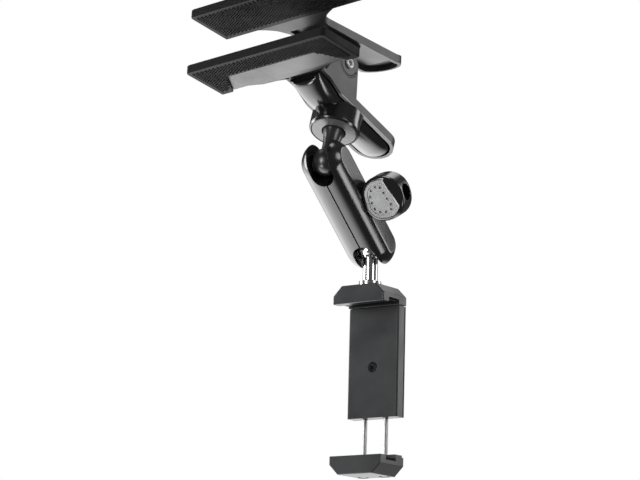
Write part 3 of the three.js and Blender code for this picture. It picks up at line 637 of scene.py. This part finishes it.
def add_diamonds(bm, low, high, level, direction, open_mouth):
    """Adds rows of low pyramids to one broad face of a boot."""
    rows = int((high.y - low.y - 2 * BORDER) / (DIAMOND_SHORT / 2))
    columns = int((high.x - low.x - 2 * BORDER) / DIAMOND_LONG)
    a, b = DIAMOND_LONG * DIAMOND_FOOT, DIAMOND_SHORT * DIAMOND_FOOT
    count = 0
    for row in range(rows + 1):
        y = low.y + BORDER + row * DIAMOND_SHORT / 2
        shift = DIAMOND_LONG / 2 if row % 2 else 0
        for column in range(columns + 1):
            x = low.x + BORDER + column * DIAMOND_LONG + shift
            if x > high.x - BORDER:
                continue
            if open_mouth and y > MOUTH_START and abs(x) < mouth_half(y):
                continue
            loops = []
            for size, rise in ((1, -SUNK), (DIAMOND_TOP, DIAMOND_TALL)):
                spots = [(x - a * size, y), (x, y - b * size), (x + a * size, y), (x, y + b * size)]
                height = level + direction * rise
                loops.append([bm.verts.new(CLIP @ Vector((u, v, height))) for u, v in spots])
            skinned(bm, loops)
            count += 1
    return count


def boot(node, body, faces):
    """A boot with rounded edges and diamonds on the given faces."""
    low, high = extent(node, CLIP)
    bm = joined(NODES[node].data, 1)
    round_edges(bm, 0.45 * MM, 4)
    count = 0
    for side, open_mouth in faces:
        count += add_diamonds(bm, low, high, high.z if side > 0 else low.z, side, open_mouth)
    print(node, "diamonds", count)
    return finished(node + "_pressed", bm, Matrix.Identity(4), RUBBER, body, (node,), 20)


boot("lower_jaw_boot", "visor_clip", ((-1, True), (1, False)))
boot("upper_jaw_boot", "upper_jaw", ((-1, False),))

# %% [markdown]
# ## Hinge pin and spring
# The hinge is a tubular rivet with rolled ends. The spring wound on it is bent from one wire. Its lower leg lies
# along the lower lever and its upper leg along the upper one. The wire rides on no body and is not blended across
# the hinge.

# %% Hinge pin
half, shank = extent("hinge_pin", PIN)[1].x, 2.0 * MM
hollow = 1.15 * MM
rolled = arc((2.0 * MM, half - 0.85 * MM), 0.82 * MM, -20, 170, 10)
profile = [
    (shank, 0), (shank, half - 1.1 * MM), *rolled, (hollow, half - 1.6 * MM), (0, half - 2.2 * MM),
]
whole = [(r, -h) for r, h in reversed(profile)][:-1] + profile
finished("hinge_rivet", spun(whole, 48, "x"), PIN, STEEL, "visor_clip", ("hinge_pin",))

# %% Torsion spring
WIRE = 0.55 * MM
COIL = 3.2 * MM
HALF_COIL = 4.4 * MM
TURNS = 5 + 1 / 6
COIL_STEPS = 160
LEG_STOPS = (1.2, 3, 6, 9, 12, 15.2)  # mm from the coil
leave = radians(150)
leg_start = Vector((0, COIL * cos(leave), COIL * sin(leave)))


def leg_point(x, up, reach):
    """A point on a spring leg, at a distance from the coil."""
    return Vector((x, leg_start.y + reach * 0.5, up * (leg_start.z + reach * sqrt(0.75))))


coil_points = []
for i in range(COIL_STEPS + 1):
    angle = leave + 2 * pi * TURNS * i / COIL_STEPS
    x = -HALF_COIL + 2 * HALF_COIL * i / COIL_STEPS
    coil_points.append(Vector((x, COIL * cos(angle), COIL * sin(angle))))
upper_leg = [leg_point(-HALF_COIL, 1, d * MM) for d in reversed(LEG_STOPS)]
lower_leg = [leg_point(HALF_COIL, -1, d * MM) for d in LEG_STOPS]
wire_curve = bpy.data.curves.new("torsion_wire", "CURVE")
wire_curve.dimensions = "3D"
wire_curve.bevel_depth = WIRE
wire_curve.bevel_resolution = 4
wire_curve.use_fill_caps = True
spline = wire_curve.splines.new("POLY")
route = upper_leg + coil_points + lower_leg
spline.points.add(len(route) - 1)
for point, spot in zip(spline.points, route):
    point.co = (*(PIN @ spot), 1)
wire_thing = bpy.data.objects.new("wire", wire_curve)
bpy.context.scene.collection.objects.link(wire_thing)
depsgraph = bpy.context.evaluated_depsgraph_get()
wire_mesh = bpy.data.meshes.new_from_object(wire_thing.evaluated_get(depsgraph))
bpy.data.objects.remove(wire_thing)
wire_bm = bmesh.new()
wire_bm.from_mesh(wire_mesh)
across_pin = ("upper_jaw", PIN @ Vector((0, 0, -6 * MM)), PIN @ Vector((0, 0, 6 * MM)))
finished(
    "torsion_wire", wire_bm, Matrix.Identity(4), STEEL, "visor_clip", ("torsion_spring",),
    sharp=60, bend=across_pin,
)
print("spring points", len(route))

# %% [markdown]
# ## Handle cover, cup and upper stud
# The glossy cover bulges out of the lower handle like half a pebble. Its section is a flattened
# arch that narrows round the tip. The cup is a turned drum that stands on it, closed by a pale
# collar, and the upper stud comes out of the collar as a flared post.

# %% Handle cover
cover_low, cover_high = extent("handle_cover", CUP)
COVER_HALF = 9.2 * MM
COVER_TOP = cover_high.z
COVER_DEEP = 8.8 * MM
COVER_START, COVER_END = cover_low.y, cover_high.y


def arch(y):
    """Half width and depth of the cover at a place along the handle."""
    tip = max(0.0, (y - (COVER_END - COVER_HALF)) / COVER_HALF)
    heel = max(0.0, (COVER_START + 1.6 * MM - y) / (1.6 * MM))
    width = COVER_HALF * sqrt(max(0.0, 1 - min(tip, 1) ** 2))
    taper = 1 - 0.3 * max(0.0, (y - 0.004) / (COVER_END - 0.004))
    rounded = sqrt(max(0.0, 1 - min(tip, 1) ** 2.4)) * sqrt(max(0.0, 1 - 0.4 * min(heel, 1) ** 2))
    rise = min(1.0, max(0.0, (y - COVER_START) / (15 * MM)))
    ramp = 0.5 + 0.5 * sin(rise * pi / 2)
    return width, COVER_DEEP * taper * rounded * ramp


along, around = 90, 40
bm = bmesh.new()
loops = []
for i in range(along + 1):
    t = i / along
    y = COVER_START + (COVER_END - COVER_START) * (1 - (1 - t) ** 1.6)
    width, deep = arch(min(y, COVER_END - 1e-5))
    loop = []
    for j in range(around + 1):
        a = pi * j / around
        x = -width * cos(a)
        z = COVER_TOP - deep * sin(a) ** 0.95
        loop.append(bm.verts.new((x, y, z)))
    loops.append(loop)
skinned(bm, loops)
bmesh.ops.remove_doubles(bm, verts=bm.verts, dist=1e-6)
finished("handle_bulge", bm, CUP, GLOSS, "visor_clip", ("handle_cover",), 50)

# %% Cup and collar
CUP_R = 12.7 * MM
cup_profile = [
    (0, 5.6 * MM), (11.3 * MM, 5.6 * MM), (11.5 * MM, 0.3 * MM), (11.65 * MM, 0),
    (CUP_R - 0.9 * MM, 0), (CUP_R - 0.2 * MM, 0.8 * MM), (CUP_R, 1.2 * MM),
    (CUP_R, 4 * MM), (CUP_R, 10.6 * MM),
    *arc((CUP_R - 0.6 * MM, 10.6 * MM), 0.6 * MM, 0, 90, 4),
    (0, 11.2 * MM),
]
finished("cup_drum", spun(cup_profile, 96), CUP, GLOSS, "visor_clip")
collar_profile = [
    (5.9 * MM, 2.2 * MM), (5.9 * MM, 0.6 * MM), *arc((6.4 * MM, 0.5 * MM), 0.5 * MM, 180, 270, 5),
    *arc((11.0 * MM, 0.4 * MM), 0.3 * MM, 270, 360, 4), (11.2 * MM, 2.2 * MM), (5.9 * MM, 2.2 * MM),
]
finished("cup_collar", spun(collar_profile, 96), CUP, PALE, "visor_clip", ("socket_collar",))

# %% Upper stud
POST_LENGTH = -(CUP.inverted() @ UPPER_BALL).z
BALL_R = 7.2 * MM


def ball_and_neck(neck):
    """Profile of a ball from its far pole to where a neck leaves it, centre at height 0."""
    stop = 180 - degrees(atan2(neck, sqrt(BALL_R**2 - neck**2)))
    steps = 40
    return [
        (BALL_R * sin(radians(stop * i / steps)), -BALL_R * cos(radians(stop * i / steps)))
        for i in range(steps + 1)
    ]


NECK = 4.0 * MM
post = [(r, h - POST_LENGTH) for r, h in ball_and_neck(NECK)]
flare_steps = 14
neck_top = post[-1][1] + 0.5 * MM
for i in range(flare_steps + 1):
    t = i / flare_steps
    post.append((NECK + 1.5 * MM * t**2.2, neck_top + (0.2 * MM - neck_top) * t))
post += [(5.5 * MM, 2.5 * MM), (7.9 * MM, 2.5 * MM), (7.9 * MM, 5.2 * MM), (3 * MM, 5.2 * MM)]
post += [(3 * MM, 10 * MM), (0, 10 * MM)]
finished(
    "upper_stud_turned", spun(post, 72), CUP, BALL, "upper_stud", ("upper_ball_stud",), 45,
)

# %% [markdown]
# ## The arm
# Two mirror-image shells squeeze the balls. Each is a slab with a long rounded back. The slots at
# the ends let the studs swing, and a round seat holds each ball. The slab is drawn, rounded, then
# cut, so that the cuts stay crisp with a fine broken edge.

# %% Arm shells
arm_low, arm_high = extent("arm_half_right", ARM)
ARM_END = arm_high.z - BALL_SPACING / 2
ARM_OUT = arm_high.x
SPLIT = arm_low.x
SEAT_R = BALL_R + 0.3 * MM
SLOT_HALF = 5.9 * MM
SLOT_IN = BALL_SPACING / 2 - 7.2 * MM
BACK_ROUND = 5.6 * MM
END_STEPS = 40
SPRING_BORE, BOLT_BORE, COLLAR_SEAT, NUT_POCKET = 4.6 * MM, 2.7 * MM, 7.4 * MM, 4.6 * MM
CLEAR = 20 * MM  # past the outside of the arm or the knob


def long_outline(radius):
    """A stadium round the two ball centres, as (y, z) points."""
    top = arc((0, BALL_SPACING / 2), radius, 0, 180, END_STEPS)
    bottom = arc((0, -BALL_SPACING / 2), radius, 180, 360, END_STEPS)
    return top + bottom


def shell_slab(side):
    """One half of the arm before it is cut: loops that shrink ever faster towards the flat side."""
    bm = bmesh.new()
    levels = [(SPLIT, ARM_END - 0.2 * MM)]
    rings = 22
    for i in range(rings + 1):
        t = i / rings
        x = SPLIT + 0.2 * MM + (ARM_OUT - SPLIT - 0.2 * MM) * t
        levels.append((x, ARM_END - BACK_ROUND * t**3))
    loops = [[bm.verts.new((side * x, y, z)) for y, z in long_outline(radius)] for x, radius in levels]
    return skinned(bm, loops)


def slot_cutter(end):
    """A round-bottomed slot in from one end of the arm, as (x, z) points."""
    centre = end * (SLOT_IN + SLOT_HALF)
    start, stop = (180, 360) if end > 0 else (0, 180)
    points = arc((0, centre), SLOT_HALF, start, stop, 24)
    far = end * 60 * MM
    return [*points, (points[-1][0], far), (points[0][0], far)]


def bore(radius, start, stop, steps=48):
    """A round cutter along X."""
    return loose(spun([(0, start), (radius, start), (radius, stop), (0, stop)], steps, "x"))


def arm_shell(side, name, node):
    """One finished half: cut for balls, slots, bolt and spring."""
    body = loose(shell_slab(side))
    cutters = []
    for end in (1, -1):
        seat = bmesh.new()
        bmesh.ops.create_uvsphere(seat, u_segments=72, v_segments=36, radius=SEAT_R)
        bmesh.ops.translate(seat, verts=seat.verts, vec=(0, 0, end * BALL_SPACING / 2))
        cutters.append(loose(seat))
        cutters.append(loose(prism(slot_cutter(end), -CLEAR, CLEAR, "y")))
    cutters.append(bore(SPRING_BORE, -6 * MM, 6 * MM))
    cutters.append(bore(BOLT_BORE, -CLEAR, CLEAR))
    if side > 0:
        cutters.append(bore(COLLAR_SEAT, 8.6 * MM, CLEAR, 64))
    else:
        cutters.append(bore(NUT_POCKET, -CLEAR, -9.4 * MM, 6))
    cut(body, cutters)
    body.data.transform(ARM)
    return reshaped(body, name, GLOSS, "arm", (node,), 0.22, 2, 40)


arm_shell(1, "arm_shell_right", "arm_half_right")
arm_shell(-1, "arm_shell_left", "arm_half_left")

# %% [markdown]
# ## The knob
# A flat paddle with fat rounded edges, easy to turn between finger and thumb. Its two broad faces
# carry a pale plate with twelve small dimples, and its end is bored out.

# %% Knob body
TURN = Matrix.Rotation(radians(-22), 4, "X")
KNOB = ARM @ TURN
KNOB_END, KNOB_HALF, KNOB_TALL = extent("knob", KNOB)[1]
KNOB_START = KNOB_END - 21.5 * MM
EDGE = 2.0 * MM


def bezier(points, steps):
    """Points along a cubic curve."""
    a, b, c, d = [Vector(p) for p in points]
    found = []
    for i in range(steps):
        t = i / steps
        found.append(a * (1 - t) ** 3 + b * 3 * t * (1 - t) ** 2 + c * 3 * t * t * (1 - t) + d * t**3)
    return found


def knob_outline():
    """The paddle seen from its flat side, as (x, z) points."""
    x0, x1, h = KNOB_START, KNOB_END, KNOB_TALL
    heel = 4.4 * MM
    lower = bezier([(x0, -heel), (x0 + 1.5 * MM, -h * 0.75), (x0 + 4.5 * MM, -h), (x0 + 10.5 * MM, -h)], 20)
    lower += bezier([(x0 + 10.5 * MM, -h), (x1 - 4 * MM, -h), (x1, -h * 0.58), (x1, 0)], 24)
    upper = [Vector((p.x, -p.y)) for p in reversed(lower[1:])]
    return lower + [Vector((x1, 0))] + upper + [Vector((x0, heel))]


def inset(points, distance):
    """A convex outline drawn in towards its middle by a distance."""
    centre = Vector(((KNOB_START + KNOB_END) / 2, 0))
    return [p - (p - centre).normalized() * distance for p in points]


def rounded_paddle(points, half, edge, steps=10):
    """A slab across Y with both rims rounded."""
    bm = bmesh.new()
    quarter = [pi / 2 * i / steps for i in range(steps + 1)]
    rim = [(half - edge + edge * cos(a), edge * (1 - sin(a))) for a in quarter]
    levels = [(-y, d) for y, d in rim] + list(reversed(rim))
    loops = [[bm.verts.new((p.x, y, p.y)) for p in inset(points, d)] for y, d in levels]
    return skinned(bm, loops)


PLATE_INSET = 1.7 * MM
KNOB_MIDDLE = (KNOB_START + KNOB_END) / 2
SLANT_HIGH = Vector((KNOB_MIDDLE + 3.2 * MM, 9.0 * MM))
SLANT_LOW = Vector((KNOB_MIDDLE + 8.6 * MM, -7.0 * MM))


def trimmed(points, side, back_off=0.0):
    """An outline cut off along the slanted line of one face, with the line moved in if asked."""
    mirror = -side
    high = Vector((SLANT_HIGH.x, SLANT_HIGH.y * mirror))
    low = Vector((SLANT_LOW.x, SLANT_LOW.y * mirror))
    along = (high - low).normalized()
    outward = Vector((along.y, -along.x)) * mirror
    kept = []
    count = len(points)
    for i, p in enumerate(points):
        q = points[(i + 1) % count]
        here = (p - high).dot(outward) + back_off
        there = (q - high).dot(outward) + back_off
        if here <= 0:
            kept.append(p)
        if here * there < 0:
            kept.append(p + (q - p) * (here / (here - there)))
    return kept


def end_bevel(side, drop, run):
    """A wedge that slopes the knob's end away from the slanted line of one face."""
    mirror = -side
    high = Vector((SLANT_HIGH.x, 0, SLANT_HIGH.y * mirror))
    low = Vector((SLANT_LOW.x, 0, SLANT_LOW.y * mirror))
    along = (high - low).normalized() * mirror
    outward = Vector((along.z, 0, -along.x))
    start = (high + low) / 2 + Vector((0, side * KNOB_HALF, 0))
    slope = (outward * run - Vector((0, side * drop, 0))).normalized()
    normal = along.cross(slope)
    normal = normal if normal.y * side > 0 else -normal
    bm = bmesh.new()
    corners = [
        start + along * u * 30 * MM + slope * v + normal * w
        for w in (0, 30 * MM) for u, v in ((-1, -2 * MM), (1, -2 * MM), (1, 30 * MM), (-1, 30 * MM))
    ]
    verts = [bm.verts.new(corner) for corner in corners]
    return loose(skinned(bm, [verts[:4], verts[4:]]))


paddle = loose(rounded_paddle(knob_outline(), KNOB_HALF, EDGE))
cutters = []
for side in (-1, 1):
    low, high = sorted((side * (KNOB_HALF - 1.2 * MM), side * CLEAR))
    outline = [(p.x, p.y) for p in trimmed(inset(knob_outline(), PLATE_INSET), side, 1.0 * MM)]
    cutters.append(loose(prism(outline, low, high, "y")))
    cutters.append(end_bevel(side, 0.7, 2.4))
cutters.append(bore(4.2 * MM, KNOB_END - 8 * MM, KNOB_END + 5 * MM, 56))
cutters.append(bore(3.7 * MM, 0, KNOB_START + 13 * MM, 40))
cut(paddle, cutters)
paddle.data.transform(KNOB)
reshaped(paddle, "knob_paddle", GLOSS, "knob", ("knob",), 0.25, 3, 40)
HUB_IN = 3.75 * MM
hub = [
    (HUB_IN, KNOB_START - 1 * MM), (4.6 * MM, KNOB_START - 0.8 * MM), (4.9 * MM, KNOB_START + 3 * MM),
    (HUB_IN, KNOB_START + 3 * MM), (HUB_IN, KNOB_START - 1 * MM),
]
finished("knob_hub", spun(hub, 48, "x"), KNOB, GLOSS, "knob")

# %% Knob plates with dimples
DIMPLES = 12
DIMPLE_R = 0.68 * MM


def evenly(points, count):
    """Points spaced evenly along a closed outline."""
    lengths = [(points[(i + 1) % len(points)] - p).length for i, p in enumerate(points)]
    total = sum(lengths)
    found = []
    for k in range(count):
        walk = total * (k + 0.5) / count
        for i, length in enumerate(lengths):
            if walk <= length:
                found.append(points[i].lerp(points[(i + 1) % len(points)], walk / length))
                break
            walk -= length
    return found


def knob_plate(side, name, node):
    """A pale inlaid plate with a ring of dimples."""
    outline = trimmed(inset(knob_outline(), PLATE_INSET + 0.15 * MM), side, 1.15 * MM)
    low, high = sorted((side * (KNOB_HALF - 1.1 * MM), side * (KNOB_HALF - 0.15 * MM)))
    plate = loose(prism([(p.x, p.y) for p in outline], low, high, "y"))
    field = trimmed(inset(knob_outline(), PLATE_INSET + 1.6 * MM), side, 2.4 * MM)
    bottom, top = sorted((side * (KNOB_HALF - 0.5 * MM), side * CLEAR))
    dots = [loose(prism([(p.x, p.y) for p in field], bottom, top, "y"))]
    ring = trimmed(inset(knob_outline(), PLATE_INSET + 3.0 * MM), side, 3.8 * MM)
    for spot in evenly(ring, DIMPLES):
        dot = bmesh.new()
        bmesh.ops.create_uvsphere(dot, u_segments=20, v_segments=12, radius=DIMPLE_R)
        bmesh.ops.translate(dot, verts=dot.verts, vec=(spot.x, side * (KNOB_HALF - 0.45 * MM), spot.y))
        dots.append(loose(dot))
    cut(plate, dots)
    plate.data.transform(KNOB)
    return reshaped(plate, name, PALE, "knob", (node,), 0.18, 2, 60)


knob_plate(-1, "knob_plate_front", "knob_face_front")
knob_plate(1, "knob_plate_back", "knob_face_back")

# %% Washer, bolt and insert
washer_low, washer_high = extent("knob_washer", ARM)
w0, w1 = washer_low.x, washer_high.x
WASHER_BORE = 2.8 * MM
washer = [
    (WASHER_BORE, w0), (6.4 * MM, w0), *arc((6.1 * MM, w1 - 0.3 * MM), 0.3 * MM, 0, 90, 4),
    (WASHER_BORE, w1), (WASHER_BORE, w0),
]
finished("knob_collar", spun(washer, 64, "x"), ARM, PALE, "arm", ("knob_washer",))
refined("arm_bolt", STEEL, 0.2, "arm")
refined("arm_spring", STEEL, 0.0, "arm")
refined("knob_insert", BRASS, 0.1, "knob")
refined("friction_washer", STEEL, 0.1, "visor_clip")

# %% [markdown]
# ## Lower stud
# Ball, stem and flange are one turned and chromed part. The fillets where the stem meets the ball
# and the flange catch a thin bright line.

# %% Lower stud
STUD_FOOT = extent("lower_ball_stud", STEM)[0].z
STEM_R = 3.75 * MM
FLANGE_R = 5.65 * MM
FLANGE_TOP = -18.0 * MM
FLANGE_BOTTOM = FLANGE_TOP - 2.6 * MM
top_half = [(r, -h) for r, h in ball_and_neck(STEM_R)]
stud = [
    *top_half,
    *arc((STEM_R + 0.5 * MM, FLANGE_TOP + 0.5 * MM), 0.5 * MM, 180, 270, 5),
    *arc((FLANGE_R - 0.45 * MM, FLANGE_TOP - 0.45 * MM), 0.45 * MM, 90, 0, 5),
    *arc((FLANGE_R - 0.3 * MM, FLANGE_BOTTOM + 0.3 * MM), 0.3 * MM, 0, -90, 3),
    (2.5 * MM, FLANGE_BOTTOM), (2.5 * MM, STUD_FOOT), (0, STUD_FOOT),
]
finished("lower_stud_turned", spun(stud, 80), STEM, CHROME, "lower_stud", ("lower_ball_stud",), 40)

# %% [markdown]
# ## The phone clamp
# Two chamfered blocks hook over the phone's long edges. The upper one is fixed to a thin housing
# behind the phone, and the lower one slides out on two steel rods against springs in the housing.

# %% Blocks, pads and housing
refined("top_block", SATIN, 0.5, "clamp")
refined("bottom_block", SATIN, 0.5, "bottom_jaw")
refined("housing", SATIN, 0.3, "clamp")
refined("back_cover", LEVER, 0.25, "clamp")
refined("top_pad", RUBBER, 0.3, "clamp")
refined("bottom_pad", RUBBER, 0.3, "bottom_jaw")
refined("centre_screw", SCREW, 0.15, "clamp")
for n in range(1, 5):
    refined(f"cover_screw_{n}", STEEL, 0.1, "clamp")

# %% Rods and springs
for side in ("left", "right"):
    rod = f"guide_rod_{side}"
    low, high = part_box(rod)
    centre = (low + high) / 2
    radius, half_length = (high.x - low.x) / 2, (high.z - low.z) / 2
    chamfer = 0.25 * MM
    rod_profile = [
        (0, -half_length), (radius - chamfer, -half_length), (radius, -half_length + chamfer),
        (radius, half_length - chamfer), (radius - chamfer, half_length), (0, half_length),
    ]
    place = Matrix.Translation(centre)
    finished(f"rod_{side}", spun(rod_profile, 40), place, STEEL, "bottom_jaw", (rod,))
    refined(f"rod_head_{side}", STEEL, 0.1, "bottom_jaw")
    refined(f"rod_screw_{side}", STEEL, 0.1, "bottom_jaw")
    spring_low, spring_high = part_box(f"return_spring_{side}")
    foot = (centre.x, centre.y, spring_low.z)
    crown = (centre.x, centre.y, spring_high.z)
    refined(f"return_spring_{side}", STEEL, 0.0, "clamp", bend=("bottom_jaw", foot, crown))

VISUAL_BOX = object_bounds()
plain = [[list(map(float, corner)) for corner in pair] for pair in (CAD_BOX, VISUAL_BOX)]
for label, pair in zip(("CAD box in mm", "visual box in mm"), plain):
    print(label, [[round(v / MM, 1) for v in corner] for corner in pair])
